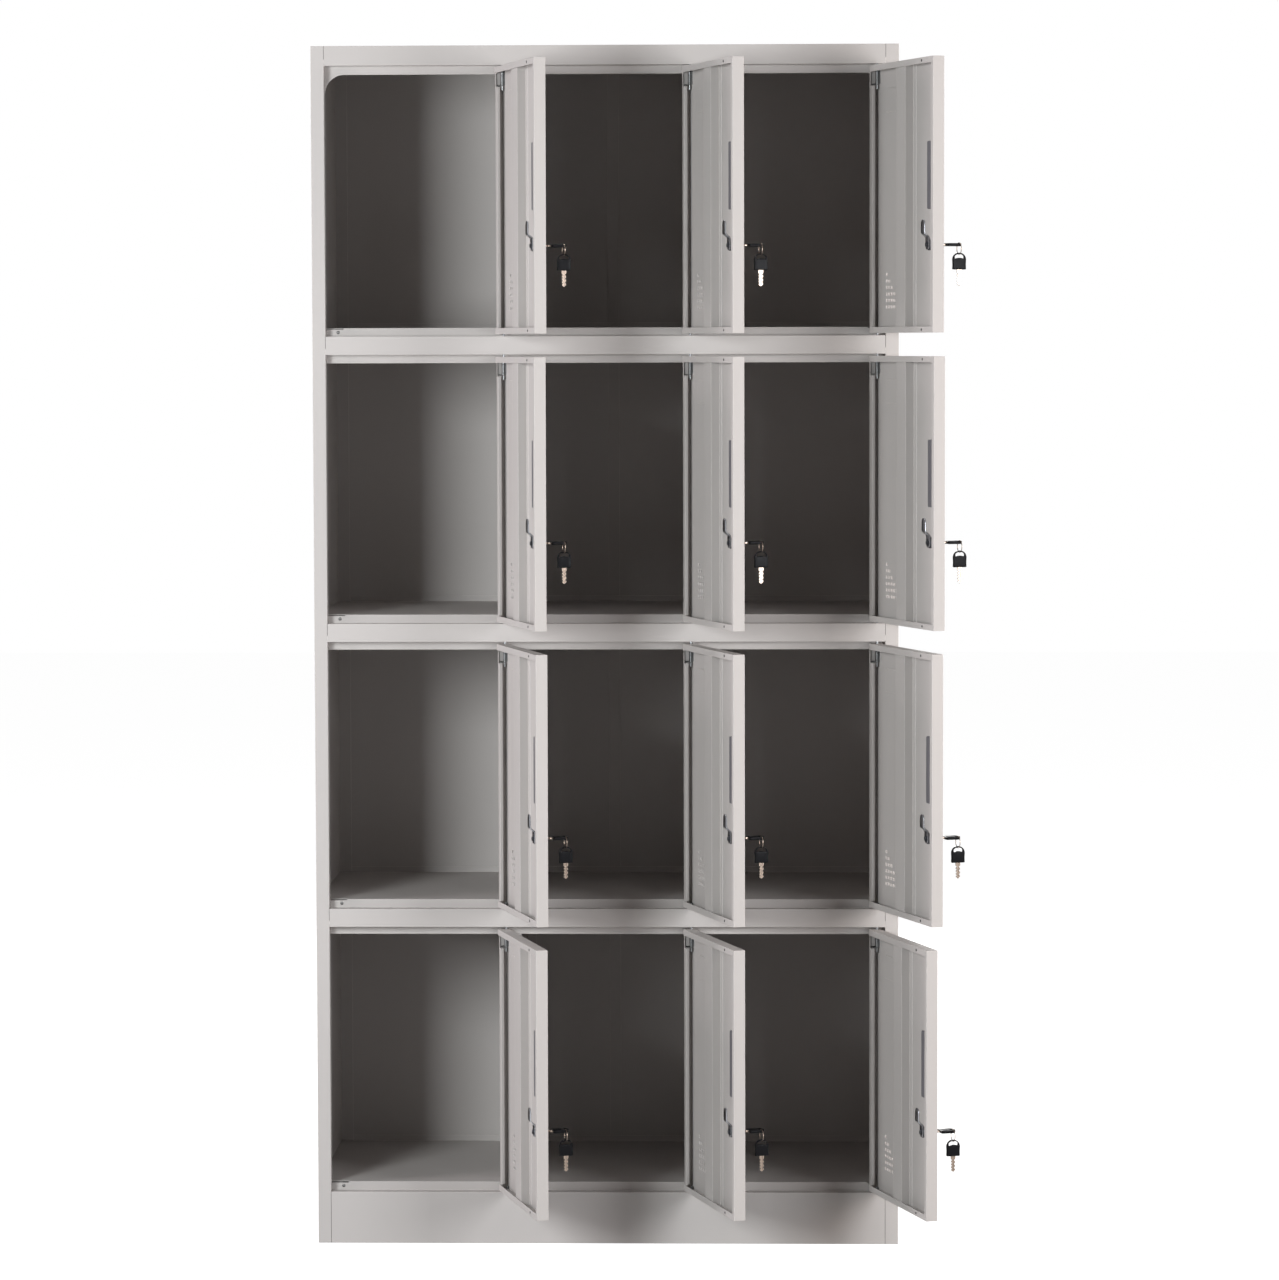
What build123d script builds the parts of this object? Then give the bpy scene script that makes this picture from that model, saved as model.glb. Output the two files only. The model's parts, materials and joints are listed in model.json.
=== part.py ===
"""Twelve-door steel compartment locker, standing with every door open and a key in every lock.

X runs to the right, Y to the back and Z up. The origin is on the floor, in the middle of the front
edge of the kick plate. Lengths are millimetres.
"""

import math
import os

from build123d import *

# Overall size of the cabinet and its sheet steel
width = 900.0
height = 1850.0
depth = 400.0
sheet = 0.8
fit_gap = 0.1
overrun = 1.0
rod_sides = 6

# Front frame: side flanges, header, rails between the rows and the kick plate
side_flange = 20.0
header = 30.0
rail = 28.0
kick = 80.0
rows = 4
columns = 3
door_recess = 19.0
stop_lip = 13.0
lip_return = 10.0
side_hem = 10.0
rear_flange = 20.0
floor_flange = 20.0
shelf_rear_lip = 9.0
gusset_radius = 30.0
lip_tab_width = 26.0
lip_tab_drop = 2.0
lip_tab_relief = 4.0

# Back: two sheets that meet behind a joint strip
joint_strip_width = 18.0

# Upright dividers between the columns
divider_flange = 20.0
divider_rear_flange = 15.0
catch_slot_depth = 7.0
catch_slot_below = 10.0
catch_slot_above = 24.0

# Rivets that hold the lips to the sides
rivet_radius = 2.5
rivet_head = 1.0
rivet_inset = 18.0

# Door pans. The hinge side is shallower than the rest, so that it clears the frame as it turns
door_hinge_gap = 2.0
door_free_gap = 5.0
door_end_gap = 3.5
door_thickness = 17.5
hinge_side_depth = 13.0
door_lip = 9.0
hinge_lip = 12.0
hinge_lip_return = 4.5
notch_edge = 3.0
notch_bottom = 30.0

# Hinge: a sprung pin above, held by a bracket leaf, and a fixed stud below
pin_inset = 10.5
pin_depth = 4.0
pin_radius = 2.0
pin_clearance = 0.1
pin_reach = 6.0
pin_length = 45.0
stud_height = 9.0
leaf_drop = 27.0
leaf_sheet = 1.5
leaf_width = 14.5
leaf_depth = 10.0
spring_radius = 2.9
spring_length = 17.0
collar_height = 2.5

# Stiffening rib welded down the inside of each door
rib_start = 121.0
rib_face = 36.0
rib_height = 15.0
rib_foot = 11.0

# Air slots near the hinge side, in a triangle whose rows grow downwards
vent_rows = 6
vent_columns = 5
vent_width = 7.5
vent_height = 4.5
vent_pitch = 10.8
vent_row_pitch = 9.9
vent_start = 39.5
vent_bottom = 39.4

# Name-card frame, set in a pressed pocket so that it lies below the door's front
card_start = 44.0
card_width = 45.0
card_top = 37.0
card_height = 34.0
card_rail = 3.0
card_thickness = 1.2
card_pocket = 1.4

# Finger cup moulded in plastic, near the free edge and above the lock
cup_edge = 11.0
cup_above_lock = 52.0
cup_width = 24.0
cup_length = 102.0
cup_depth = 12.0
cup_wall = 1.2
cup_rim = 2.2
cup_rim_thickness = 1.5

# Cam lock, near the free edge. The cam reaches a little past the divider
lock_edge = 28.5
lock_height = 130.0
cam_catch = 3.5
barrel_radius = 8.0
barrel_flange_radius = 10.5
barrel_flange = 2.5
barrel_end = 14.0
barrel_sides = 8
plug_radius = 5.0
plug_clearance = 0.1
plug_sides = 8
cam_width = 15.0
cam_sheet = 1.6
cam_crank = 7.2
cam_crank_start = 11.0
cam_crank_end = 17.0
cam_screw_width = 7.0
cam_screw_height = 2.5

# Keys, ring and the gap that shows between lock and key
key_stand_off = 13.0
key_bow_length = 25.0
key_bow_radius = 10.5
key_bow_thickness = 4.6
key_slot_width = 14.0
key_slot_height = 6.5
key_slot_rim = 2.4
slot_shoulder_share = 0.35
slot_top_share = 0.6
slot_peak_share = 0.2
key_blade_length = 24.0
key_blade_width = 7.5
key_blade_thickness = 2.2
key_tip = 3.5
ring_radius = 9.0
ring_wire = 1.2
ring_thickness = 1.6
ring_sides = 8
ring_play = 0.3
ring_depth_share = 0.6
arch_points = 5

# How far each door stands open, in degrees, row by row from the top left
rest_angles = (
    (105.9, 107.3, 109.2),
    (105.6, 107.3, 109.6),
    (105.8, 107.3, 109.1),
    (105.5, 107.3, 107.4),
)

# Sizes that follow from the ones above
clear_width = width - 2 * side_flange
opening = (height - header - kick - (rows - 1) * rail) / rows
pitch = clear_width / columns
inner_half = width / 2 - sheet
frame_half = clear_width / 2 - fit_gap
back_face = depth - sheet
rear_inner = back_face - sheet - fit_gap
door_width = pitch - door_hinge_gap - door_free_gap
door_height = opening - 2 * door_end_gap
lock_inset = door_width - lock_edge
cam_reach = lock_edge + door_free_gap + cam_catch
cup_start = door_width - cup_edge - cup_width
cup_low = lock_height + cup_above_lock


def block(x0, x1, y0, y1, z0, z1):
    """A plain block between two opposite corners."""
    corner = (Align.MIN, Align.MIN, Align.MIN)
    return Pos(x0, y0, z0) * Box(x1 - x0, y1 - y0, z1 - z0, align=corner)


def folded(path, thickness):
    """Outline of a folded sheet: a line of folds, with the metal on its left-hand side."""
    normals = []
    for (a0, b0), (a1, b1) in zip(path, path[1:]):
        run = math.hypot(a1 - a0, b1 - b0)
        normals.append(((b0 - b1) / run, (a1 - a0) / run))
    far_side = []
    for index, (a, b) in enumerate(path):
        before = normals[max(index - 1, 0)]
        after = normals[min(index, len(normals) - 1)]
        spread = 1 + before[0] * after[0] + before[1] * after[1]
        move_a = (before[0] + after[0]) / spread
        move_b = (before[1] + after[1]) / spread
        far_side.append((a + thickness * move_a, b + thickness * move_b))
    return list(path) + far_side[::-1]


def prism(plane, outline, length):
    """An outline drawn on a plane and drawn out along the plane's normal."""
    face = make_face(Polyline(*outline, close=True))
    return extrude(plane * face, amount=length)


def across(path, half_width):
    """A sheet folded to a line of (y, z) points and running across the cabinet."""
    return prism(Plane.YZ.offset(-half_width), folded(path, sheet), 2 * half_width)


def bar(radius, sides, length, place):
    """A small turned piece, faceted: it starts at a place and grows towards the back."""
    return Pos(*place) * Rot(-90, 0, 0) * extrude(RegularPolygon(radius, sides), length)


def upright_rod(radius, z0, z1):
    """A small faceted rod on the Z axis between two heights."""
    return Pos(0, 0, z0) * extrude(RegularPolygon(radius, rod_sides), z1 - z0)


def bore_radius(inner, sides):
    """Corner radius of a faceted hole in which a bar of the inner radius can turn."""
    return inner / math.cos(math.pi / sides)


def pin_bore(z0, z1):
    """Cutter for a hole that a hinge pin turns in, a little past its two faces."""
    radius = bore_radius(pin_radius + pin_clearance, rod_sides)
    return upright_rod(radius, z0 - overrun, z1 + overrun)


def row_floor(row):
    """Height of the bottom edge of a row's opening, rows counted from the top."""
    return kick + (rows - 1 - row) * (opening + rail)


def hinge_edge(column):
    """X of the closed door's hinge edge, on its right."""
    return -clear_width / 2 + (column + 1) * pitch - door_hinge_gap


def pin_place(row, column):
    """Point on the hinge axis at the bottom of the door."""
    return (hinge_edge(column) - pin_inset, pin_depth, row_floor(row) + door_end_gap)


def save(node, *solids):
    """Writes one sub-part."""
    shape = solids[0] if len(solids) == 1 else Compound(children=list(solids))
    export_step(shape, os.path.join("parts", node + ".step"))


# Cabinet shell


def side_panel():
    """The left side: outer wall, front flange, return with its hem, rear and floor flanges."""
    outer = -width / 2
    frame_edge = outer + side_flange
    path = [
        (outer + rear_flange, back_face),
        (outer, back_face),
        (outer, 0),
        (frame_edge, 0),
        (frame_edge, door_recess),
        (frame_edge - side_hem, door_recess),
    ]
    wall = prism(Plane.XY, folded(path, sheet), height)
    foot = block(
        outer + sheet, outer + floor_flange, door_recess + sheet, rear_inner, 0, sheet
    )
    top_relief = block(
        outer + sheet,
        frame_edge + overrun,
        sheet,
        door_recess + overrun,
        height - sheet - fit_gap,
        height + overrun,
    )
    return wall + foot - top_relief


def rivet_heights():
    """Heights of the rivets in the lips, with the row openings' edges."""
    middle = stop_lip / 2
    heights = []
    for row in range(rows):
        heights.append(row_floor(row) + middle)
        heights.append(row_floor(row) + opening - middle)
    return heights


def pin_holes(z_low):
    """Cutters for the three hinge pins that pass up through a ledge."""
    cutters = []
    for column in range(columns):
        x, y, _ = pin_place(0, column)
        cutters.append(Pos(x, y, 0) * pin_bore(z_low, z_low + sheet))
    return cutters


def studs(z_low):
    """The three fixed studs that the doors turn on, riveted into a ledge."""
    made = []
    for column in range(columns):
        x, y, _ = pin_place(0, column)
        made.append(Pos(x, y, 0) * upright_rod(pin_radius, z_low, z_low + stud_height))
    return made


def floor_wings(z_top):
    """The parts of a floor that reach past the front frame to the side walls."""
    wings = []
    for sign in (-1, 1):
        edges = sorted((sign * (frame_half - sheet), sign * (inner_half - fit_gap)))
        wings.append(
            block(*edges, door_recess + fit_gap, rear_inner, z_top - sheet, z_top)
        )
    return wings


def tab_reliefs(z_top):
    """Cutters that lower the two ends of an upper lip and free them from the floor."""
    cutters = []
    for sign in (-1, 1):
        edges = sorted((sign * (frame_half - lip_tab_width), sign * (frame_half + overrun)))
        cutters.append(
            block(
                *edges,
                door_recess - overrun,
                door_recess + lip_tab_relief,
                z_top - lip_tab_drop,
                z_top + overrun,
            )
        )
    return cutters


def top_panel():
    """The top: rear flange, sheet, header, ledge and lip, with its two rounded corners."""
    ledge = height - header
    path = [
        (back_face, height - rear_flange),
        (back_face, height),
        (0, height),
        (0, ledge),
        (door_recess, ledge),
        (door_recess, ledge - stop_lip),
    ]
    shape = across(path, frame_half)
    for sign in (-1, 1):
        edges = sorted((sign * (frame_half - sheet), sign * (inner_half - fit_gap)))
        shape += block(*edges, sheet + fit_gap, rear_inner, height - sheet, height)
        corner = sorted((sign * frame_half, sign * (frame_half - gusset_radius)))
        low = ledge - stop_lip - gusset_radius
        gusset = block(
            *corner, door_recess, door_recess + sheet, low, ledge - stop_lip + sheet
        )
        middle = (sign * (frame_half - gusset_radius), door_recess + sheet / 2, low)
        sweep = Pos(*middle) * Rot(90, 0, 0) * Cylinder(gusset_radius, sheet + overrun)
        shape += gusset - sweep
    for cutter in pin_holes(ledge):
        shape -= cutter
    return shape


def shelf():
    """A shelf with its rail, for the row above a rail whose top edge is at height zero."""
    path = [
        (rear_inner - sheet, stop_lip + shelf_rear_lip),
        (rear_inner - sheet, stop_lip),
        (door_recess, stop_lip),
        (door_recess, 0),
        (0, 0),
        (0, -rail),
        (door_recess, -rail),
        (door_recess, -rail - stop_lip),
        (door_recess + lip_return, -rail - stop_lip),
    ]
    shape = across(path, frame_half)
    for wing in floor_wings(stop_lip):
        shape += wing
    for cutter in tab_reliefs(stop_lip) + pin_holes(-rail):
        shape -= cutter
    return shape


def base_panel():
    """The lowest floor with its kick plate and the flange that stands on the ground."""
    path = [
        (rear_inner - sheet, kick + stop_lip + shelf_rear_lip),
        (rear_inner - sheet, kick + stop_lip),
        (door_recess, kick + stop_lip),
        (door_recess, kick),
        (0, kick),
        (0, 0),
        (floor_flange, 0),
    ]
    shape = across(path, frame_half)
    for wing in floor_wings(kick + stop_lip):
        shape += wing
    for cutter in tab_reliefs(kick + stop_lip):
        shape -= cutter
    return shape


def divider(row, boundary):
    """The upright sheet between two compartments, with its front post and catch slot."""
    x = -clear_width / 2 + boundary * pitch
    low = row_floor(row) + stop_lip + fit_gap
    lip_end = row_floor(row) + opening - stop_lip - fit_gap
    if row:
        high = lip_end + 2 * stop_lip + rail - sheet
    else:
        high = height - sheet - fit_gap
    half = sheet / 2
    rear = rear_inner - sheet - fit_gap
    behind_lip = door_recess + lip_return + sheet + fit_gap
    shape = block(x - half, x + half, door_recess, rear, low, lip_end)
    shape += block(x - half, x + half, behind_lip, rear, lip_end - overrun, high)
    shape += block(
        x - divider_flange / 2,
        x + divider_flange / 2,
        door_recess,
        door_recess + sheet,
        low,
        lip_end,
    )
    shape += block(
        x - half, x + divider_rear_flange, rear - sheet, rear, low + shelf_rear_lip, high
    )
    lock_z = row_floor(row) + door_end_gap + lock_height
    shape -= block(
        x - sheet,
        x + sheet,
        door_recess + sheet + fit_gap,
        door_recess + sheet + catch_slot_depth,
        lock_z - catch_slot_below,
        lock_z + catch_slot_above,
    )
    return shape


def frame_rivets():
    """Rivet heads near the ends of every lip."""
    heads = []
    for z in rivet_heights():
        for sign in (-1, 1):
            x = sign * (clear_width / 2 - rivet_inset)
            place = (x, door_recess - rivet_head, z)
            heads.append(bar(rivet_radius, rod_sides, rivet_head, place))
    return heads


# Door, drawn closed: its hinge edge at x = 0, its front at y = 0 and its lower edge at z = 0


def door_pan():
    """Skin, four walls, inner lips, card pocket, the notch for the hinge, and all the holes."""
    shape = block(-door_width, 0, 0, door_thickness, 0, door_height)
    shape -= block(
        sheet - door_width, -sheet, sheet, door_thickness - sheet, sheet, door_height - sheet
    )
    shape -= block(
        door_lip - door_width,
        -hinge_lip,
        door_thickness / 2,
        door_thickness + overrun,
        door_lip,
        door_height - door_lip,
    )
    shape -= block(
        -hinge_lip,
        overrun,
        hinge_side_depth,
        door_thickness + overrun,
        -overrun,
        door_height + overrun,
    )
    shape += block(
        -hinge_lip, 0, hinge_side_depth - sheet, hinge_side_depth, 0, door_height
    )
    for low in (0, door_height - door_lip):
        shape += block(
            -hinge_lip - sheet,
            -hinge_lip,
            hinge_side_depth - sheet,
            door_thickness,
            low,
            low + door_lip,
        )
    shape += block(
        -hinge_lip,
        sheet - hinge_lip,
        hinge_side_depth - hinge_lip_return,
        hinge_side_depth,
        door_lip,
        door_height - notch_bottom,
    )
    shape -= block(
        -hinge_lip - overrun,
        -notch_edge,
        hinge_side_depth - sheet - overrun,
        hinge_side_depth + overrun,
        door_height - notch_bottom,
        door_height - door_lip,
    )
    card_far = -card_start - card_width
    card_low = door_height - card_top - card_height
    shape += block(
        card_far - sheet,
        sheet - card_start,
        0,
        card_pocket + sheet,
        card_low - sheet,
        door_height - card_top + sheet,
    )
    shape -= block(
        card_far, -card_start, -overrun, card_pocket, card_low, door_height - card_top
    )
    for step in range(vent_rows):
        low = vent_bottom + (vent_rows - 1 - step) * vent_row_pitch - vent_height / 2
        for slot in range(min(step + 1, vent_columns)):
            start = vent_start + slot * vent_pitch
            shape -= block(
                -start - vent_width, -start, -overrun, sheet + overrun, low, low + vent_height
            )
    shape -= block(
        -cup_start - cup_width - fit_gap,
        -cup_start + fit_gap,
        -overrun,
        sheet + overrun,
        cup_low - fit_gap,
        cup_low + cup_length + fit_gap,
    )
    shape -= bar(
        barrel_radius + fit_gap,
        barrel_sides,
        sheet + 2 * overrun,
        (-lock_inset, -overrun, lock_height),
    )
    for low in (0, door_height - sheet):
        shape -= Pos(-pin_inset, pin_depth, 0) * pin_bore(low, low + sheet)
    return shape


def door_rib():
    """Hat-section rib standing on the inside of the skin."""
    foot_start = -rib_start + rib_foot
    foot_end = -rib_start - rib_face - rib_foot
    path = [
        (foot_end, sheet),
        (-rib_start - rib_face, sheet),
        (-rib_start - rib_face, rib_height - sheet),
        (-rib_start, rib_height - sheet),
        (-rib_start, sheet),
        (foot_start, sheet),
    ]
    plane = Plane.XY.offset(sheet + fit_gap)
    return prism(plane, folded(path, sheet), door_height - 2 * (sheet + fit_gap))


def hinge_parts():
    """Bracket leaf, and the sprung pin with its collar and its spring as a plain sleeve."""
    leaf_z = door_height - leaf_drop - leaf_sheet
    leaf = block(-leaf_width, -sheet, sheet, sheet + leaf_depth, leaf_z, leaf_z + leaf_sheet)
    leaf += block(
        -leaf_width, -sheet, sheet, sheet + leaf_sheet, leaf_z, door_height - sheet - fit_gap
    )
    axis = Pos(-pin_inset, pin_depth, 0)
    leaf -= axis * pin_bore(leaf_z, leaf_z + leaf_sheet)
    top = door_height + door_end_gap + pin_reach
    pin = axis * upright_rod(pin_radius, top - pin_length, top)
    spring_low = leaf_z + leaf_sheet
    pin += axis * upright_rod(
        spring_radius, spring_low, spring_low + spring_length + collar_height
    )
    return [leaf, pin]


def card_frame():
    """A name-card frame of three rails, open at its top, on the floor of its pocket."""
    top = door_height - card_top - fit_gap
    low = door_height - card_top - card_height + fit_gap
    far = fit_gap - card_start - card_width
    near = -fit_gap - card_start
    shape = block(far, near, card_pocket - card_thickness, card_pocket, low, top)
    return shape - block(
        far + card_rail,
        near - card_rail,
        -overrun,
        card_pocket + overrun,
        low + card_rail,
        top + overrun,
    )


def lock_barrel():
    """The fixed body of the lock: round face and the body through the skin."""
    front = (0, -barrel_flange, 0)
    shape = bar(barrel_radius, barrel_sides, barrel_end, (0, 0, 0))
    shape += bar(barrel_flange_radius, barrel_sides, barrel_flange, front)
    shape -= bar(
        bore_radius(plug_radius + plug_clearance, plug_sides),
        plug_sides,
        barrel_end + barrel_flange + 2 * overrun,
        (0, -barrel_flange - overrun, 0),
    )
    return Pos(-lock_inset, 0, lock_height) * shape


def finger_cup():
    """Moulded cup that fingers reach into to pull the door: rim in front, pocket behind."""
    far = -cup_start - cup_width
    high = cup_low + cup_length
    shape = block(
        far - cup_rim,
        cup_rim - cup_start,
        -cup_rim_thickness,
        0,
        cup_low - cup_rim,
        high + cup_rim,
    )
    shape += block(far, -cup_start, 0, cup_depth, cup_low, high)
    return shape - block(
        far + cup_wall,
        -cup_start - cup_wall,
        -cup_rim_thickness - overrun,
        cup_depth - cup_wall,
        cup_low + cup_wall,
        high - cup_wall,
    )


# Keys. A key is drawn with its bow's arched end at the origin and its blade along -Z


def arch(radius):
    """Points round the arched end of a bow, which is flat at its other end."""
    turns = [math.pi * step / (arch_points - 1) for step in range(arch_points)]
    return [(radius * math.cos(turn), radius * math.sin(turn) - radius) for turn in turns]


def key(blade_length):
    """A flat key: moulded bow with a crescent slot, and a pointed metal blade."""
    bow_outline = arch(key_bow_radius) + [
        (-key_bow_radius, -key_bow_length),
        (key_bow_radius, -key_bow_length),
    ]
    half_slot = key_slot_width / 2
    slot_low = -key_slot_rim - key_slot_height
    shoulder = -key_slot_rim - slot_shoulder_share * key_slot_height
    half_top = slot_top_share * half_slot
    slot = [
        (half_slot, slot_low),
        (half_slot, shoulder),
        (half_top, -key_slot_rim),
        (-half_top, -key_slot_rim),
        (-half_slot, shoulder),
        (-half_slot, slot_low),
        (0, slot_low + slot_peak_share * key_slot_height),
    ]
    front = Plane.XZ.offset(-key_bow_thickness / 2)
    bow = prism(front, bow_outline, key_bow_thickness)
    bow -= prism(Plane.XZ.offset(-key_bow_thickness), slot, 2 * key_bow_thickness)
    half_blade = key_blade_width / 2
    tip_z = -key_bow_length - blade_length
    blade_outline = [
        (half_blade, -key_bow_length),
        (half_blade, tip_z + key_tip),
        (0, tip_z),
        (-half_blade, tip_z + key_tip),
        (-half_blade, -key_bow_length),
    ]
    side = Plane.XZ.offset(-key_blade_thickness / 2)
    return bow, prism(side, blade_outline, key_blade_thickness)


def ring_bore():
    """Radius of the largest round bar that passes through the ring."""
    return (ring_radius - ring_wire / 2) * math.cos(math.pi / ring_sides)


def ring_centre_drop():
    """How far the ring's centre hangs below the lock axis."""
    rim_corner = math.hypot(key_bow_thickness / 2, (key_bow_radius - key_slot_width / 2) / 2)
    return ring_bore() - rim_corner - ring_play


def rim_middle():
    """Distance from the lock axis to the middle of the bow's side rim."""
    return (key_bow_radius + key_slot_width / 2) / 2


def ring_out():
    """Distance of the ring and the spare key from the door's front."""
    return key_stand_off + key_bow_length - key_slot_rim - ring_depth_share * key_slot_height


def lock_rotor():
    """Plug, cam and the key that stands in the plug, on the lock axis, cam upwards."""
    low = barrel_end + fit_gap
    plug = bar(plug_radius, plug_sides, barrel_flange + low, (0, -barrel_flange, 0))
    path = [
        (low + cam_crank, cam_reach),
        (low + cam_crank, cam_crank_end),
        (low, cam_crank_start),
        (low, -cam_width / 2),
    ]
    cam = prism(Plane.YZ.offset(-cam_width / 2), folded(path, cam_sheet), cam_width)
    screw = bar(cam_screw_width / 2, rod_sides, cam_screw_height, (0, low + cam_sheet, 0))
    bow, blade = key(key_stand_off - barrel_flange)
    lay = Pos(0, -key_stand_off - key_bow_length, 0) * Rot(90, 0, 0)
    return [plug + cam + screw, lay * bow, lay * blade]


def spare_key():
    """Ring and spare key, hung from the rim of the inserted key, about the lock axis."""
    centre = Pos(-rim_middle(), -ring_out(), -ring_centre_drop())
    outer = RegularPolygon(ring_radius + ring_wire / 2, ring_sides)
    inner = RegularPolygon(ring_radius - ring_wire / 2, ring_sides)
    ring = centre * Pos(0, ring_thickness / 2, 0) * Rot(90, 0, 0) * extrude(
        outer - inner, ring_thickness
    )
    seat = math.sqrt(ring_bore() ** 2 - (key_bow_thickness / 2) ** 2) - ring_play
    bow, blade = key(key_blade_length)
    top = key_slot_rim - ring_centre_drop() - seat
    hang = Pos(-rim_middle(), -ring_out(), top) * Rot(0, 0, 90)
    return [ring, hang * bow, hang * blade]


def opened(row, column, shape):
    """Takes a shape from the door's own drawing position to its place on the open door."""
    x, y, z = pin_place(row, column)
    swing = Rot(0, 0, rest_angles[row][column])
    return Pos(x, y, z) * swing * Pos(pin_inset, -pin_depth, 0) * shape


def build():
    """Writes every sub-part."""
    os.makedirs("parts", exist_ok=True)
    left = side_panel()
    save("left_side_panel", left)
    save("right_side_panel", mirror(left, Plane.YZ))
    save("top_panel", top_panel())
    one_shelf = shelf()
    for row in range(rows - 1):
        z = row_floor(row)
        raised = Pos(0, 0, z) * one_shelf
        save(f"shelf_{row + 1}", raised, *studs(z))
    save("base_panel", base_panel(), *studs(kick))
    half = width / 2
    save("back_panel_left", block(-half, -fit_gap, back_face, depth, 0, height))
    save("back_panel_right", block(fit_gap, half, back_face, depth, 0, height))
    strip = joint_strip_width / 2
    strip_top = height - rear_flange - fit_gap
    save("back_joint_strip", block(-strip, strip, back_face - sheet, back_face, 0, strip_top))
    uprights = [divider(row, edge) for row in range(rows) for edge in range(1, columns)]
    save("dividers", *uprights)
    save("frame_rivets", *frame_rivets())
    pan, rib = door_pan(), door_rib()
    fittings = [*hinge_parts(), card_frame(), lock_barrel()]
    cup = finger_cup()
    at_lock = Pos(-lock_inset, 0, lock_height)
    rotor = [at_lock * piece for piece in lock_rotor()]
    hanging = [at_lock * piece for piece in spare_key()]
    for row in range(rows):
        for column in range(columns):
            number = f"{row * columns + column + 1:02d}"
            groups = {
                "door": [pan, rib, *fittings],
                "finger_cup": [cup],
                "lock_and_key": rotor,
                "spare_key": hanging,
            }
            for name, pieces in groups.items():
                save(f"{name}_{number}", *[opened(row, column, piece) for piece in pieces])


build()
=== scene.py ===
import json
import math

import bmesh
import bpy
import numpy as np
from mathutils import Matrix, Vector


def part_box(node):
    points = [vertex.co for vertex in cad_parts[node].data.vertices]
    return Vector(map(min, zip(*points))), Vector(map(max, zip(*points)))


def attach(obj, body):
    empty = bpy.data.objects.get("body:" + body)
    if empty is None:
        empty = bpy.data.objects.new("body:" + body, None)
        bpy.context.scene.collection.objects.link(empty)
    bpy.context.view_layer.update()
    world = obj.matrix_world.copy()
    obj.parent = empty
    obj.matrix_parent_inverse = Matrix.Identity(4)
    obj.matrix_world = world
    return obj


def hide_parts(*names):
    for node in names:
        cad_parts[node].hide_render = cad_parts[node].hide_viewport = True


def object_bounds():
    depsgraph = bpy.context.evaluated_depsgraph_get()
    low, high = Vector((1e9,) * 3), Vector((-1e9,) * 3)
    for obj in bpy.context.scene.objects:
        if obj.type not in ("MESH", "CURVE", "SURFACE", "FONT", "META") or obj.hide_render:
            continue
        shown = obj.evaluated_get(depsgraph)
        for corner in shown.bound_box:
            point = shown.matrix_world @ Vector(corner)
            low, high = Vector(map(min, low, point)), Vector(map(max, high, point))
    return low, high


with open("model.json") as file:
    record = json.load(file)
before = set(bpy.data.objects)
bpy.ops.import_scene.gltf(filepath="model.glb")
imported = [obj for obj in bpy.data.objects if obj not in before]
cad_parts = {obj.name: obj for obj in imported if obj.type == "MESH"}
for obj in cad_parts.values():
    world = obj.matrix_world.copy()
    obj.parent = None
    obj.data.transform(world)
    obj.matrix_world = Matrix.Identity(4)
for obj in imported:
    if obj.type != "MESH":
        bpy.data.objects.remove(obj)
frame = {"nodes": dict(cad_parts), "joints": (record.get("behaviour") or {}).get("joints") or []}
cad_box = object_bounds()
scene = bpy.context.scene
scene.view_settings.view_transform = "Standard"

# Camera. A long lens stands a little to the right of the cabinet, at chest height, and looks
# slightly down and to the left. The angles are in radians and the place is in millimetres.

mm = 0.001
camera_place = (250.0, -7250.8, 1396.4)
camera_yaw = -0.02735
camera_pitch = 0.06302
camera_roll = -0.00266
camera_lens = 132.85
camera_sensor = 36.0
camera_sight = 60.0


def standing(right, up, ahead, place):
    """The matrix of a thing that looks ahead. Its columns: right, up, backwards and the place."""
    matrix = np.eye(4)
    matrix[:3] = np.stack([right, up, -np.array(ahead), place], axis=1)
    return Matrix(matrix.tolist())


def camera_matrix():
    """Yaw turns the view about Z, pitch tips it down and roll turns it about itself."""
    sideways = np.array((math.cos(camera_yaw), -math.sin(camera_yaw), 0.0))
    ahead = (
        math.sin(camera_yaw) * math.cos(camera_pitch),
        math.cos(camera_yaw) * math.cos(camera_pitch),
        -math.sin(camera_pitch),
    )
    steep = np.cross(sideways, ahead)
    right = math.cos(camera_roll) * sideways + math.sin(camera_roll) * steep
    up = math.cos(camera_roll) * steep - math.sin(camera_roll) * sideways
    return standing(right, up, ahead, np.array(camera_place) * mm)


camera_data = bpy.data.cameras.new("camera")
camera_data.lens = camera_lens
camera_data.sensor_width = camera_sensor
camera_data.sensor_fit = "HORIZONTAL"
camera_data.clip_end = camera_sight
camera = bpy.data.objects.new("camera", camera_data)
scene.collection.objects.link(camera)
camera.matrix_world = camera_matrix()
scene.camera = camera

# Light. Two soft boxes stand on each side: one in front and a grazing one beside the cabinet. Two
# more light its back and top. The camera, gloss and clear pieces see the room as plain white.
# A row gives a box's name, its place and size in metres, its power in watts and its tint.

soft_boxes = (
    ("left_front_box", (-1.75, -3.05, 1.55), (0.9, 1.3), 96.0, (0.93, 0.98, 1.0)),
    ("right_front_box", (2.3, -2.9, 1.4), (1.0, 1.6), 74.0, (0.95, 0.97, 1.0)),
    ("left_side_box", (-3.3, -1.0, 1.4), (1.0, 1.8), 53.0, (1.0, 0.93, 0.97)),
    ("right_side_box", (3.5, -1.5, 1.4), (1.2, 1.8), 66.0, (1.0, 0.88, 0.82)),
    ("rear_box", (0.0, 3.8, 1.6), (0.8, 1.6), 84.0, (1.0, 0.98, 0.96)),
    ("top_box", (0.0, 0.8, 4.1), (0.8, 1.0), 56.0, (1.0, 0.98, 0.96)),
)
box_target = np.array([0.0, 0.0, 1.0])
room_white = (1.0, 1.0, 1.0, 1.0)
room_glow = 0.025


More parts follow.
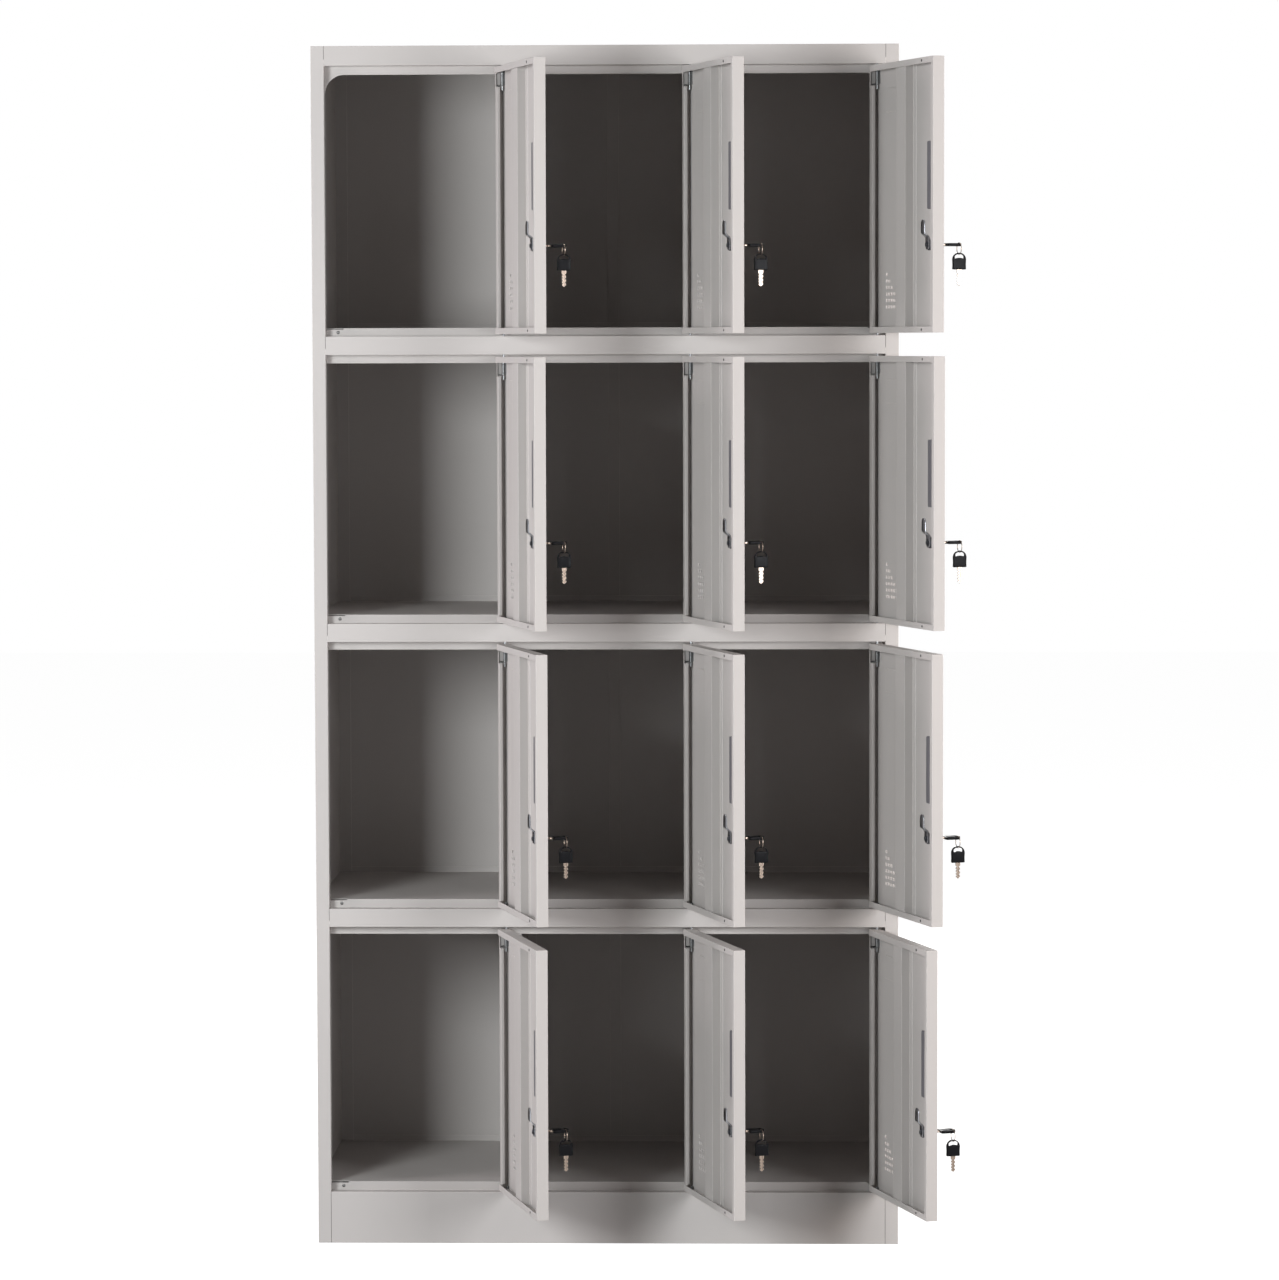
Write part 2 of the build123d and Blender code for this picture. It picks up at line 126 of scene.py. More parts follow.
def aimed(place, target):
    """Turns a lamp so that it shines from its place towards the target, with its top kept up."""
    ahead = (target - place) / np.linalg.norm(target - place)
    right = np.cross(ahead, (0.0, 0.0, 1.0))
    right /= np.linalg.norm(right)
    return standing(right, np.cross(right, ahead), ahead, place)


for name, place, size, power, tint in soft_boxes:
    lamp = bpy.data.lights.new(name, "AREA")
    lamp.shape = "RECTANGLE"
    lamp.size, lamp.size_y = size
    lamp.energy = power
    lamp.color = tint
    holder = bpy.data.objects.new(name, lamp)
    scene.collection.objects.link(holder)
    holder.matrix_world = aimed(np.array(place), box_target)


def add(tree, kind, **settings):
    """A new node with its plain settings filled in."""
    node = tree.nodes.new(kind)
    for label, value in settings.items():
        setattr(node, label, value)
    return node


def math_node(tree, operation, first, second):
    """A Math node: each operand is a socket or a number."""
    node = add(tree, "ShaderNodeMath", operation=operation)
    for slot, operand in enumerate((first, second)):
        if isinstance(operand, (int, float)):
            node.inputs[slot].default_value = operand
        else:
            tree.links.new(operand, node.inputs[slot])
    return node.outputs[0]


def white_to_camera(tree):
    """1 for rays that come from the camera, from gloss or through clear pieces, otherwise 0."""
    ray = add(tree, "ShaderNodeLightPath").outputs
    seen = math_node(tree, "MAXIMUM", ray["Is Camera Ray"], ray["Is Glossy Ray"])
    return math_node(tree, "MAXIMUM", seen, ray["Is Transmission Ray"])


world = bpy.data.worlds.new("room")
scene.world = world
world.use_nodes = True
room = world.node_tree
room.nodes.clear()
level = add(room, "ShaderNodeMapRange")
level.inputs["To Min"].default_value = room_glow
level.inputs["To Max"].default_value = 1.0
room.links.new(white_to_camera(room), level.inputs["Value"])
glow = add(room, "ShaderNodeBackground")
glow.inputs["Color"].default_value = room_white
room.links.new(level.outputs["Result"], glow.inputs["Strength"])
room_out = add(room, "ShaderNodeOutputWorld")
room.links.new(glow.outputs["Background"], room_out.inputs["Surface"])

# Floor. A plain sheet that runs out of sight. It shines nearly white to the camera and still
# takes the cabinet's shadow.

floor_half = 14.0
floor_drop = 0.0005
floor_colour = (0.4, 0.4, 0.4, 1.0)
floor_lift = 0.975

floor_corners = np.array([(-1.0, -1.0), (1.0, -1.0), (1.0, 1.0), (-1.0, 1.0)]) * floor_half
floor_points = np.column_stack([floor_corners, np.full(len(floor_corners), -floor_drop)])
floor_mesh = bpy.data.meshes.new("floor")
floor_mesh.from_pydata(floor_points.tolist(), [], [tuple(range(len(floor_points)))])
floor = bpy.data.objects.new("floor", floor_mesh)
scene.collection.objects.link(floor)
floor_paint = bpy.data.materials.new("floor sheet")
floor_paint.use_nodes = True
tree = floor_paint.node_tree
tree.nodes.clear()
matt = add(tree, "ShaderNodeBsdfDiffuse")
matt.inputs["Color"].default_value = floor_colour
shine = add(tree, "ShaderNodeEmission")
lift = math_node(tree, "MULTIPLY", white_to_camera(tree), floor_lift)
tree.links.new(lift, shine.inputs["Strength"])
both = add(tree, "ShaderNodeAddShader")
tree.links.new(matt.outputs["BSDF"], both.inputs[0])
tree.links.new(shine.outputs["Emission"], both.inputs[1])
floor_out = add(tree, "ShaderNodeOutputMaterial")
tree.links.new(both.outputs["Shader"], floor_out.inputs["Surface"])
floor_mesh.materials.append(floor_paint)

# Sheet-steel cabinet and doors. Folded from 0.8 mm sheet, spot-welded and powder-coated in a
# warm light grey. The coat is matt to satin, has a fine orange peel and a painted fold highlight.

paint_colour = (0.458, 0.43, 0.413, 1.0)
paint_roughness = 0.58
peel_size = 1.3
peel_height = 0.02
fold_radius = 1.3
fold_samples = 6
highlight_gain = 3.5
coat_clouds = 2.3
coat_specks = 60.0
speck_strength = 0.02
remade_nodes = ("finger_cup", "lock_and_key", "spare_key", "frame_rivets")


def new_group(name, inputs, outputs):
    """A node group with inputs of (name, type, value) rows and outputs of (name, type) rows."""
    group = bpy.data.node_groups.new(name, "ShaderNodeTree")
    for label, kind, value in inputs:
        socket = group.interface.new_socket(label, in_out="INPUT", socket_type=kind)
        socket.default_value = value
    for label, kind in outputs:
        group.interface.new_socket(label, in_out="OUTPUT", socket_type=kind)
    return group, group.nodes.new("NodeGroupInput").outputs, group.nodes.new("NodeGroupOutput")


def put_out(group, out, **results):
    """Links each result to the group's output of that name."""
    for label, socket in results.items():
        group.links.new(socket, out.inputs[label])


def noise(tree, place, scale, detail=2.0, roughness=0.5):
    """Noise on the object's own coordinates, in cycles per metre: its value from 0 to 1."""
    node = add(tree, "ShaderNodeTexNoise")
    node.inputs["Detail"].default_value = detail
    node.inputs["Roughness"].default_value = roughness
    tree.links.new(place, node.inputs["Vector"])
    if isinstance(scale, (int, float)):
        node.inputs["Scale"].default_value = scale
    else:
        tree.links.new(scale, node.inputs["Scale"])
    return node.outputs["Fac"]


def swing(tree, value, amount):
    """A value from 0 to 1, less a half and times the amount."""
    return math_node(tree, "MULTIPLY", math_node(tree, "SUBTRACT", value, 0.5), amount)


def varied(tree, plain, value, amount):
    """A plain number times one plus the swing of a value."""
    factor = math_node(tree, "ADD", swing(tree, value, amount), 1.0)
    return math_node(tree, "MULTIPLY", plain, factor)


def shaded(tree, colour, *changes):
    """A colour times one plus the sum of its changes."""
    total = changes[0]
    for change in changes[1:]:
        total = math_node(tree, "ADD", total, change)
    node = add(tree, "ShaderNodeVectorMath", operation="SCALE")
    tree.links.new(colour, node.inputs[0])
    tree.links.new(math_node(tree, "ADD", total, 1.0), node.inputs["Scale"])
    return node.outputs["Vector"]


def fold_mask(tree, radius):
    """The folds' rounded normal, and a painted-highlight mask: 1 less its dot with the flat one,
    times a gain.
    """
    rounded = add(tree, "ShaderNodeBevel", samples=fold_samples)
    tree.links.new(radius, rounded.inputs["Radius"])
    flat = add(tree, "ShaderNodeNewGeometry")
    dot = add(tree, "ShaderNodeVectorMath", operation="DOT_PRODUCT")
    tree.links.new(rounded.outputs["Normal"], dot.inputs[0])
    tree.links.new(flat.outputs["Normal"], dot.inputs[1])
    away = math_node(tree, "SUBTRACT", 1.0, dot.outputs["Value"])
    mask = add(tree, "ShaderNodeMath", operation="MULTIPLY", use_clamp=True)
    tree.links.new(away, mask.inputs[0])
    mask.inputs[1].default_value = highlight_gain
    return rounded.outputs["Normal"], mask.outputs[0]


def powder_coat_group():
    """Powder coat: colour drifts slowly, folds get a painted highlight, peel is fine noise as
    height.
    """
    group, given, out = new_group(
        "powder coat",
        (
            ("Colour", "NodeSocketColor", (0.6, 0.6, 0.6, 1.0)),
            ("Drift", "NodeSocketFloat", 0.04),
            ("Fold paleness", "NodeSocketFloat", 0.6),
            ("Fold radius", "NodeSocketFloat", 0.001),
            ("Peel scale", "NodeSocketFloat", 700.0),
            ("Roughness", "NodeSocketFloat", 0.42),
        ),
        (
            ("Colour", "NodeSocketColor"),
            ("Roughness", "NodeSocketFloat"),
            ("Height", "NodeSocketFloat"),
            ("Normal", "NodeSocketVector"),
        ),
    )
    place = add(group, "ShaderNodeTexCoord").outputs["Object"]
    cloud = noise(group, place, coat_clouds, detail=3.0)
    speck = noise(group, place, coat_specks, detail=4.0, roughness=0.65)
    peel = noise(group, place, given["Peel scale"], detail=3.0, roughness=0.45)
    normal, fold_highlight_mask = fold_mask(group, given["Fold radius"])
    # Painted highlight: the folds' colour is made paler where a rounded fold would catch the
    # light.
    painted_highlight = math_node(group, "MULTIPLY", fold_highlight_mask, given["Fold paleness"])
    drift = swing(group, cloud, given["Drift"])
    fine = swing(group, speck, speck_strength)
    put_out(
        group,
        out,
        Colour=shaded(group, given["Colour"], painted_highlight, drift, fine),
        Roughness=varied(group, given["Roughness"], speck, amount=0.3),
        Height=peel,
        Normal=normal,
    )
    return group


def finish_with(name, group, values, bump_distance, **constants):
    """A material: colour, roughness, height and normal come from a group with its own values."""
    material = bpy.data.materials.new(name)
    material.use_nodes = True
    tree = material.node_tree
    shader = tree.nodes["Principled BSDF"]
    for label, value in constants.items():
        shader.inputs[label.replace("_", " ")].default_value = value
    used = add(tree, "ShaderNodeGroup", node_tree=group)
    for label, value in values.items():
        used.inputs[label].default_value = value
    bump = add(tree, "ShaderNodeBump")
    bump.inputs["Distance"].default_value = bump_distance
    tree.links.new(used.outputs["Colour"], shader.inputs["Base Color"])
    tree.links.new(used.outputs["Roughness"], shader.inputs["Roughness"])
    tree.links.new(used.outputs["Height"], bump.inputs["Height"])
    if "Normal" in used.outputs:
        tree.links.new(used.outputs["Normal"], bump.inputs["Normal"])
    tree.links.new(bump.outputs["Normal"], shader.inputs["Normal"])
    return material


def dress(piece, material):
    """Gives a piece one material."""
    piece.data.materials.clear()
    piece.data.materials.append(material)


cabinet_paint = finish_with(
    "warm grey powder coat",
    powder_coat_group(),
    {
        "Colour": paint_colour,
        "Fold radius": fold_radius * mm,
        "Peel scale": 1.0 / (peel_size * mm),
        "Roughness": paint_roughness,
    },
    bump_distance=peel_height * mm,
    Specular_IOR_Level=0.2,
)
for name, node in frame["nodes"].items():
    if not name.startswith(remade_nodes):
        dress(node, cabinet_paint)

# Finger cups. Each is one moulding in grained dark grey plastic: a rim that lies on the door's
# front and a pocket behind the skin, deep enough for four fingertips, with drafted walls.

door_count = 12
cup_half_width = 12.0
cup_half_length = 51.0
cup_corner = 3.5
cup_from_lock = -5.5
cup_above_lock = 52.0
cup_depth = 14.0
cup_floor = 12.8
cup_rim_front = -1.5
cup_rim_out = -2.2
cup_wall = 1.2
cup_draft = 0.9
cup_edge = 1.0
cup_grain = 0.03
cup_colour = (0.115, 0.111, 0.12, 1.0)
plastic_patches = 45.0
weld_reach = 0.002
door_numbers = [f"{number:02d}" for number in range(1, door_count + 1)]
joints = {joint["name"]: joint for joint in frame["joints"]}


def rest_angle(number):
    """How far a door stands open: its hinge can close by exactly that much."""
    return -math.radians(joints[f"door_{number}_hinge"]["range_deg"][0])


def turned(points, origin, angle):
    """Points in millimetres, turned about Z by the angle, then shifted to an origin in metres."""
    cosine, sine = math.cos(angle), math.sin(angle)
    spin = np.array([[cosine, sine, 0.0], [-sine, cosine, 0.0], [0.0, 0.0, 1.0]])
    return points @ spin * mm + np.array(origin)


def at_lock(points, number):
    """From axes at the lock's front, with y to the inside of the door, to the open door."""
    return turned(points, joints[f"lock_{number}_turn"]["pos_m"], rest_angle(number))


def shell(points, loop_rows=False, loop_columns=True):
    """Quads between neighbours of a grid of points. A looped direction joins end to start."""
    rows, columns = points.shape[:2]
    row = np.arange(rows if loop_rows else rows - 1)
    column = np.arange(columns if loop_columns else columns - 1)
    row, column = np.meshgrid(row, column, indexing="ij")
    below, beside = (row + 1) % rows, (column + 1) % columns
    corners = (
        row * columns + column,
        row * columns + beside,
        below * columns + beside,
        below * columns + column,
    )
    return points.reshape(-1, 3), np.stack(corners, -1).reshape(-1, len(corners))


def piece_of(name, shells, body, finish, crease=38.0):
    """One piece from several shells: doubles merged, faces out, edges past the crease sharp."""
    starts = np.cumsum([0] + [len(points) for points, _ in shells[:-1]])
    points = np.concatenate([points for points, _ in shells])
    faces = np.concatenate([quads + start for (_, quads), start in zip(shells, starts)])
    mesh = bpy.data.meshes.new(name)
    mesh.from_pydata(points.tolist(), [], faces.tolist())
    work = bmesh.new()
    work.from_mesh(mesh)
    bmesh.ops.remove_doubles(work, verts=work.verts, dist=weld_reach * mm)
    bmesh.ops.recalc_face_normals(work, faces=work.faces)
    work.to_mesh(mesh)
    work.free()
    mesh.polygons.foreach_set("use_smooth", np.ones(len(mesh.polygons), bool))
    mesh.set_sharp_from_angle(angle=math.radians(crease))
    piece = bpy.data.objects.new(name, mesh)
    scene.collection.objects.link(piece)
    dress(piece, finish)
    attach(piece, body)
    return piece


def eased(corners, radius, steps=4):
    """Corners rounded off: each is a parabola between points a radius away on its two sides."""
    here = np.array(corners, float)
    before, after = np.roll(here, 1, 0), np.roll(here, -1, 0)
    before[0], after[-1] = here[0], here[-1]
    ends = []
    for other in (before, after):
        length = np.linalg.norm(other - here, axis=1, keepdims=True)
        share = np.minimum(radius / np.where(length > 0, length, np.inf), 0.5)
        ends.append(here + (other - here) * share)
    t = np.linspace(0.0, 1.0, steps + 1)[:, None, None]
    curve = (1 - t) ** 2 * ends[0] + 2 * t * (1 - t) * here + t**2 * ends[1]
    return curve.transpose(1, 0, 2).reshape(-1, 2)


def rounded_frame(half_x, half_z, radius, per_corner=6):
    """Rounded rectangles: a quarter circle about each corner. The halves may be columns."""
    angle = np.linspace(0.0, np.pi / 2, per_corner) + np.arange(4)[:, None] * np.pi / 2
    middle = angle.mean(axis=1, keepdims=True)
    side_x = np.broadcast_to(np.sign(np.cos(middle)), angle.shape).ravel()
    side_z = np.broadcast_to(np.sign(np.sin(middle)), angle.shape).ravel()
    x = side_x * (half_x - radius) + radius * np.cos(angle.ravel())
    z = side_z * (half_z - radius) + radius * np.sin(angle.ravel())
    return x, z


def finger_cup():
    """(Inset, depth) points carried round a rounded rectangle, from the back to the pocket."""
    section = eased(
        (
            (cup_half_width, cup_depth),
            (cup_draft, cup_depth),
            (0.0, 0.0),
            (cup_rim_out, 0.0),
            (cup_rim_out, cup_rim_front),
            (cup_wall, cup_rim_front),
            (cup_wall + cup_draft, cup_floor),
            (cup_half_width, cup_floor),
        ),
        cup_edge,
    )
    inset, depth = section[:, :1], section[:, 1:]
    half_x, half_z = cup_half_width - inset, cup_half_length - inset
    x, z = rounded_frame(half_x, half_z, np.clip(cup_corner - inset, 0.0, half_x))
    middle = cup_above_lock + cup_half_length
    return np.stack([x + cup_from_lock, np.broadcast_to(depth, x.shape), z + middle], -1)


def moulded_group():
    """Moulded plastic: fine spark grain used as height, a slow tone drift, duller patches and
    painted rim highlights.
    """
    group, given, out = new_group(
        "moulded plastic",
        (
            ("Colour", "NodeSocketColor", (0.2, 0.2, 0.2, 1.0)),
            ("Drift", "NodeSocketFloat", 0.08),
            ("Rim paleness", "NodeSocketFloat", 0.25),
            ("Rim radius", "NodeSocketFloat", 0.0006),
            ("Grain scale", "NodeSocketFloat", 1800.0),
            ("Roughness", "NodeSocketFloat", 0.5),
        ),
        (
            ("Colour", "NodeSocketColor"),
            ("Roughness", "NodeSocketFloat"),
            ("Height", "NodeSocketFloat"),
            ("Normal", "NodeSocketVector"),
        ),
    )
    place = add(group, "ShaderNodeTexCoord").outputs["Object"]
    patch = noise(group, place, plastic_patches, detail=3.0)
    grain = noise(group, place, given["Grain scale"], roughness=0.7)
    normal, rim_highlight_mask = fold_mask(group, given["Rim radius"])
    # Painted highlight: the rims' colour is made paler where a rounded rim would catch the light.
    painted_highlight = math_node(group, "MULTIPLY", rim_highlight_mask, given["Rim paleness"])
    drift = swing(group, patch, given["Drift"])
    put_out(
        group,
        out,
        Colour=shaded(group, given["Colour"], painted_highlight, drift),
        Roughness=varied(group, given["Roughness"], patch, amount=0.35),
        Height=grain,
        Normal=normal,
    )
    return group


moulded = moulded_group()
# The cups' rims keep the group's painted highlight.
cup_plastic = finish_with(
    "grained cup plastic",
    moulded,
    {"Colour": cup_colour, "Roughness": 0.48},
    bump_distance=cup_grain * mm,
)
for number in door_numbers:
    cup_shell = shell(at_lock(finger_cup(), number))
    cup = piece_of(f"cup_{number}", [cup_shell], f"door_{number}", cup_plastic)
    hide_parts(f"finger_cup_{number}")

# Lock bodies. A die-cast barrel with a fine thread is pushed through the door from the front. Its
# domed front ring is nickel-plated; the barrel and its flat hexagon nut are left gunmetal dark.

lock_ring_radius = 10.62
lock_ring_front = -2.62
lock_ring_crown = 0.6
lock_ring_edge = 0.35
lock_ring_sides = 40
barrel_radius = 8.06
barrel_end = 14.06
barrel_sides = 28
thread_pitch = 1.0
thread_depth = 0.32
plug_radius = 5.0
hexagon_sides = 6
nut_corner = 10.0
nut_back = 4.4
nut_bevel = 0.5
skin_sheet = 0.8
nickel_colour = (0.42, 0.425, 0.44, 1.0)
nickel_cloud = (0.3, 0.31, 0.335, 1.0)
nickel_scratch = 0.004
gunmetal_colour = (0.1, 0.102, 0.11, 1.0)
gunmetal_cloud = (0.05, 0.052, 0.058, 1.0)
gunmetal_scratch = 0.006


def lathe(profile, sides):
    """A profile of (distance along y, radius) carried round the y axis."""
    along, radius = np.array(profile, float).T
    angle = np.linspace(0.0, 2 * np.pi, sides, endpoint=False)
    x = radius[:, None] * np.cos(angle)
    z = radius[:, None] * np.sin(angle)
    return np.stack([x, np.broadcast_to(along[:, None], x.shape), z], -1)


def lock_ring():
    """Front ring: flat back, straight edge, and a face that crowns between edge and bore."""
    crown = (lock_ring_radius + plug_radius) / 2
    return eased(
        (
            (0.0, plug_radius),
            (0.0, lock_ring_radius),
            (lock_ring_front, lock_ring_radius),
            (lock_ring_front - lock_ring_crown, crown),
            (lock_ring_front, plug_radius),
            (0.0, plug_radius),
        ),
        lock_ring_edge,
    )


def threaded_barrel():
    """Barrel whose radius rises and falls once a pitch, closed by its ends and its bore."""
    along = np.arange(0.0, barrel_end + thread_pitch / 8, thread_pitch / 4)
    wave = 0.5 - 0.5 * np.cos(2 * np.pi * along / thread_pitch)
    wall = np.stack([np.minimum(along, barrel_end), barrel_radius + thread_depth * wave], -1)
    bore = [(barrel_end, plug_radius), (0.0, plug_radius)]
    return np.concatenate([[(0.0, plug_radius)], wall, bore])


def hexagon_head(start, end, corner, bore, bevel):
    """Profile of a nut or screw head, bevelled at its far end. A bore above 0 closes it inside."""
    outside = [
        (start, bore),
        (start, corner),
        (end - bevel, corner),
        (end, corner - bevel),
        (end, bore),
    ]
    return outside + [(start, bore)] * (bore > 0)


def plating_group():
    """Plated metal: warm and cool clouds, and fine random scratches that dull the shine."""
    group, given, out = new_group(
        "plating",
        (
            ("Colour", "NodeSocketColor", (0.5, 0.5, 0.5, 1.0)),
            ("Cloud colour", "NodeSocketColor", (0.5, 0.5, 0.5, 1.0)),
            ("Cloud scale", "NodeSocketFloat", 120.0),
            ("Scratch scale", "NodeSocketFloat", 1500.0),
            ("Roughness", "NodeSocketFloat", 0.3),
        ),
        (
            ("Colour", "NodeSocketColor"),
            ("Roughness", "NodeSocketFloat"),
            ("Height", "NodeSocketFloat"),
        ),
    )
    place = add(group, "ShaderNodeTexCoord").outputs["Object"]
    cloud = noise(group, place, given["Cloud scale"], detail=3.0)
    scratch = noise(group, place, given["Scratch scale"], detail=1.0)
    blend = add(group, "ShaderNodeMix", data_type="RGBA")
    group.links.new(cloud, blend.inputs["Factor"])
    group.links.new(given["Colour"], blend.inputs["A"])
    group.links.new(given["Cloud colour"], blend.inputs["B"])
    put_out(
        group,
        out,
        Colour=blend.outputs["Result"],
        Roughness=varied(group, given["Roughness"], scratch, amount=0.7),
        Height=scratch,
    )
    return group


plating = plating_group()
nickel = finish_with(
    "satin nickel plating",
    plating,
    {"Colour": nickel_colour, "Cloud colour": nickel_cloud, "Roughness": 0.3},
    bump_distance=nickel_scratch * mm,
    Metallic=1.0,
)
gunmetal = finish_with(
    "gunmetal",
    plating,
    {"Colour": gunmetal_colour, "Cloud colour": gunmetal_cloud, "Roughness": 0.38},
    bump_distance=gunmetal_scratch * mm,
    Metallic=1.0,
)
nut_profile = hexagon_head(skin_sheet, nut_back, nut_corner, barrel_radius, nut_bevel)
body_parts = (
    ("lock_ring", nickel, [lathe(lock_ring(), lock_ring_sides)]),
    (
        "lock_barrel",
        gunmetal,
        [lathe(threaded_barrel(), barrel_sides), lathe(nut_profile, hexagon_sides)],
    ),
)
for number in door_numbers:
    for part, finish, part_points in body_parts:
        shells = [shell(at_lock(points, number)) for points in part_points]
        piece_of(f"{part}_{number}", shells, f"door_{number}", finish)

# Lock plugs, cams and screws. The plug turns in the body; on its end sits a stamped, cranked cam
# of bright-plated steel under a hexagon screw, and here it points up, which is unlocked.

cam_half_width = 7.4
cam_low_end = -7.4
cam_high_end = 37.0
cam_seat = 14.12
cam_crank = 7.2
cam_crank_low = 11.0
cam_crank_high = 17.0
cam_bend = 2.0
cam_rows = 61
cam_sheet = 1.6
sheet_edge = 0.3
plug_front = -2.7
plug_clearance = 0.05
plug_edge = 0.3
plug_sides = 32
screw_corner = 3.5
screw_height = 2.5
screw_bevel = 0.4
washer_radius = 5.2
washer_sunk = 0.1
washer_height = 0.6
washer_edge = 0.2
washer_sides = 28
bright_colour = (0.6, 0.617, 0.642, 1.0)
bright_cloud = (0.4, 0.42, 0.46, 1.0)
bright_scratch = 0.003


def band(path, half_widths, thickness, edge=sheet_edge):
    """A flat bar along (y, z) points: each section is a rounded oblong, with x across it."""
    step = np.gradient(path, axis=0)
    step /= np.linalg.norm(step, axis=1, keepdims=True)
    across = np.stack([step[:, 1], -step[:, 0]], -1)
    corner = np.minimum(edge, half_widths)[:, None]
    x, depth = rounded_frame(half_widths[:, None], thickness / 2, corner, per_corner=3)
    y = path[:, :1] + depth * across[:, :1]
    z = path[:, 1:] + depth * across[:, 1:]
    return np.stack([x, y, z], -1)


def spaced(path, count):
    """The same line with its points at equal distances along it."""
    run = np.concatenate([[0.0], np.cumsum(np.linalg.norm(np.diff(path, axis=0), axis=1))])
    even = np.linspace(0.0, run[-1], count)
    return np.stack([np.interp(even, run, path[:, 0]), np.interp(even, run, path[:, 1])], -1), even


def round_ended(run, half_width, radius):
    """Half width along a bar whose two ends are half circles of a radius."""
    near = np.minimum(run, run[-1] - run)
    reach = np.clip(1.0 - near / radius, 0.0, 1.0)
    return half_width * np.sqrt(1.0 - reach**2)


def rod(start, end, radius, edge):
    """Profile of a rod or disc from start to end along its axis, with its edges rounded off."""
    return eased(((start, 0.0), (start, radius), (end, radius), (end, 0.0)), edge)


def cam():
    """Cam plate: flat at the plug, cranked towards the inside, then straight to its round end."""
    half = cam_sheet / 2
    low, high = cam_seat + half, cam_seat + cam_crank + half
    corners = (
        (low, cam_low_end),
        (low, cam_crank_low),
        (high, cam_crank_high),
        (high, cam_high_end),
    )
    path, run = spaced(eased(corners, cam_bend, steps=6), cam_rows)
    return band(path, round_ended(run, cam_half_width, cam_half_width), cam_sheet)


screw_start = cam_seat + cam_sheet
screw_end = screw_start + screw_height
plug_profile = rod(plug_front, cam_seat, plug_radius - plug_clearance, plug_edge)
screw_profile = hexagon_head(screw_start, screw_end, screw_corner, 0.0, screw_bevel)
washer_profile = rod(
    screw_start - washer_sunk, screw_start + washer_height, washer_radius, washer_edge
)
bright_plating = finish_with(
    "bright plated steel",
    plating,
    {"Colour": bright_colour, "Cloud colour": bright_cloud, "Roughness": 0.2},
    bump_distance=bright_scratch * mm,
    Metallic=1.0,
)
rotor_parts = (
    ("cam", bright_plating, [lathe(plug_profile, plug_sides), cam()]),
    (
        "cam_screw",
        gunmetal,
        [lathe(screw_profile, hexagon_sides), lathe(washer_profile, washer_sides)],
    ),
)
for number in door_numbers:
    for part, finish, part_points in rotor_parts:
        shells = [shell(at_lock(points, number)) for points in part_points]
        rotor = piece_of(f"{part}_{number}", shells, f"lock_{number}", finish)
        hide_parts(f"lock_and_key_{number}")

# Keys in the locks. A blanked and milled flat blade of nickel silver with a black plastic head
# moulded round it. The head is arched, with a crescent slot for the ring, and flares at its foot.

head_radius = 10.5
head_length = 25.0
head_waist = 0.25
head_thickness = 4.6
head_softness = 0.3
head_sides = 96
head_section_steps = 20
arch_steps = 40
straight_steps = 24
slot_half_width = 7.3
slot_top = -2.2
slot_top_bow = 4.4
slot_top_roundness = 0.86
slot_low = -9.3
slot_rise = 1.7
slot_middle = -6.0
blade_half_width = 3.75
blade_thickness = 2.2
blade_tip = 3.5
blade_tip_thinning = 3.0
blade_root = 1.5
blade_shoulder = 5.5
blade_rows = 73
blade_face = (
    (1.0, 0.0),
    (0.94, 0.5),
    (0.4, 0.5),
    (0.28, 0.22),
    (-0.28, 0.22),
    (-0.4, 0.5),
    (-0.94, 0.5),
    (-1.0, 0.0),
)
cut_depth = 2.1
right_cut_wave = 1.45
left_cut_wave = 1.1
left_cut_start = 0.8
key_stand_off = 13.0
head_colour = (0.006, 0.006, 0.007, 1.0)
head_grain = 0.006
head_crease = 60.0
blade_colour = (0.27, 0.222, 0.185, 1.0)
blade_cloud = (0.24, 0.19, 0.155, 1.0)
blade_scratch = 0.005


def head_outline():
    """Half circle above, sides that draw in a little and flare again, and a straight foot."""
    turn = np.linspace(0.0, np.pi, arch_steps)
    arch = np.stack([head_radius * np.cos(turn), head_radius * (np.sin(turn) - 1)], -1)
    down = np.linspace(0.0, 1.0, straight_steps)[1:]
    side = head_radius - head_waist * np.sin(np.pi * down) ** 2
    left = np.stack([-side, -head_radius - down * (head_length - head_radius)], -1)
    x = np.linspace(-head_radius, head_radius, straight_steps)[1:-1]
    foot = np.stack([x, np.full(x.shape, -head_length)], -1)
    return np.concatenate([arch, left, foot, left[::-1] * (-1.0, 1.0)])


def slot_outline():
    """Crescent: an arched upper edge, round ends and a lower edge that bows upwards."""
    across = np.linspace(-1.0, 1.0, arch_steps)
    upper = slot_top - (1 - np.sqrt(1 - slot_top_roundness * across**2)) * slot_top_bow
    lower = slot_low + slot_rise * (1 - across**2)
    top = np.stack([slot_half_width * across, upper], -1)
    low = np.stack([slot_half_width * across[::-1], lower[::-1]], -1)
    return np.concatenate([top, low])


def by_angle(outline, count):
    """An outline's points at equal angles about the slot's middle, found between its own."""
    x, z = outline[:, 0], outline[:, 1] - slot_middle
    angle, reach = np.arctan2(z, x), np.hypot(x, z)
    order = np.argsort(angle)
    even = np.linspace(-np.pi, np.pi, count, endpoint=False)
    far = np.interp(even, angle[order], reach[order], period=2 * np.pi)
    return np.stack([far * np.cos(even), far * np.sin(even) + slot_middle], -1)


def key_head():
    """An oblong section with soft corners that reaches from the slot's outline to the head's."""
    outer = by_angle(head_outline(), head_sides)
    inner = by_angle(slot_outline(), head_sides)
    turn = np.linspace(0.0, 2 * np.pi, head_section_steps, endpoint=False)
    cosine, sine = np.cos(turn), np.sin(turn)
    across = 0.5 + 0.5 * np.sign(cosine) * np.abs(cosine) ** head_softness
    through = 0.5 * head_thickness * np.sign(sine) * np.abs(sine) ** head_softness
    flat = inner[:, None] + (outer - inner)[:, None] * across[:, None]
    return np.stack([flat[..., 0], np.broadcast_to(through, flat.shape[:2]), flat[..., 1]], -1)


def edge_cut(below, wave, start=0.0):
    """Depth of the cuts below the shoulder: a raised cosine that comes in over the first 1 mm."""
    return cut_depth * (0.5 - 0.5 * np.cos(below * wave + start)) * np.clip(below, 0.0, 1.0)


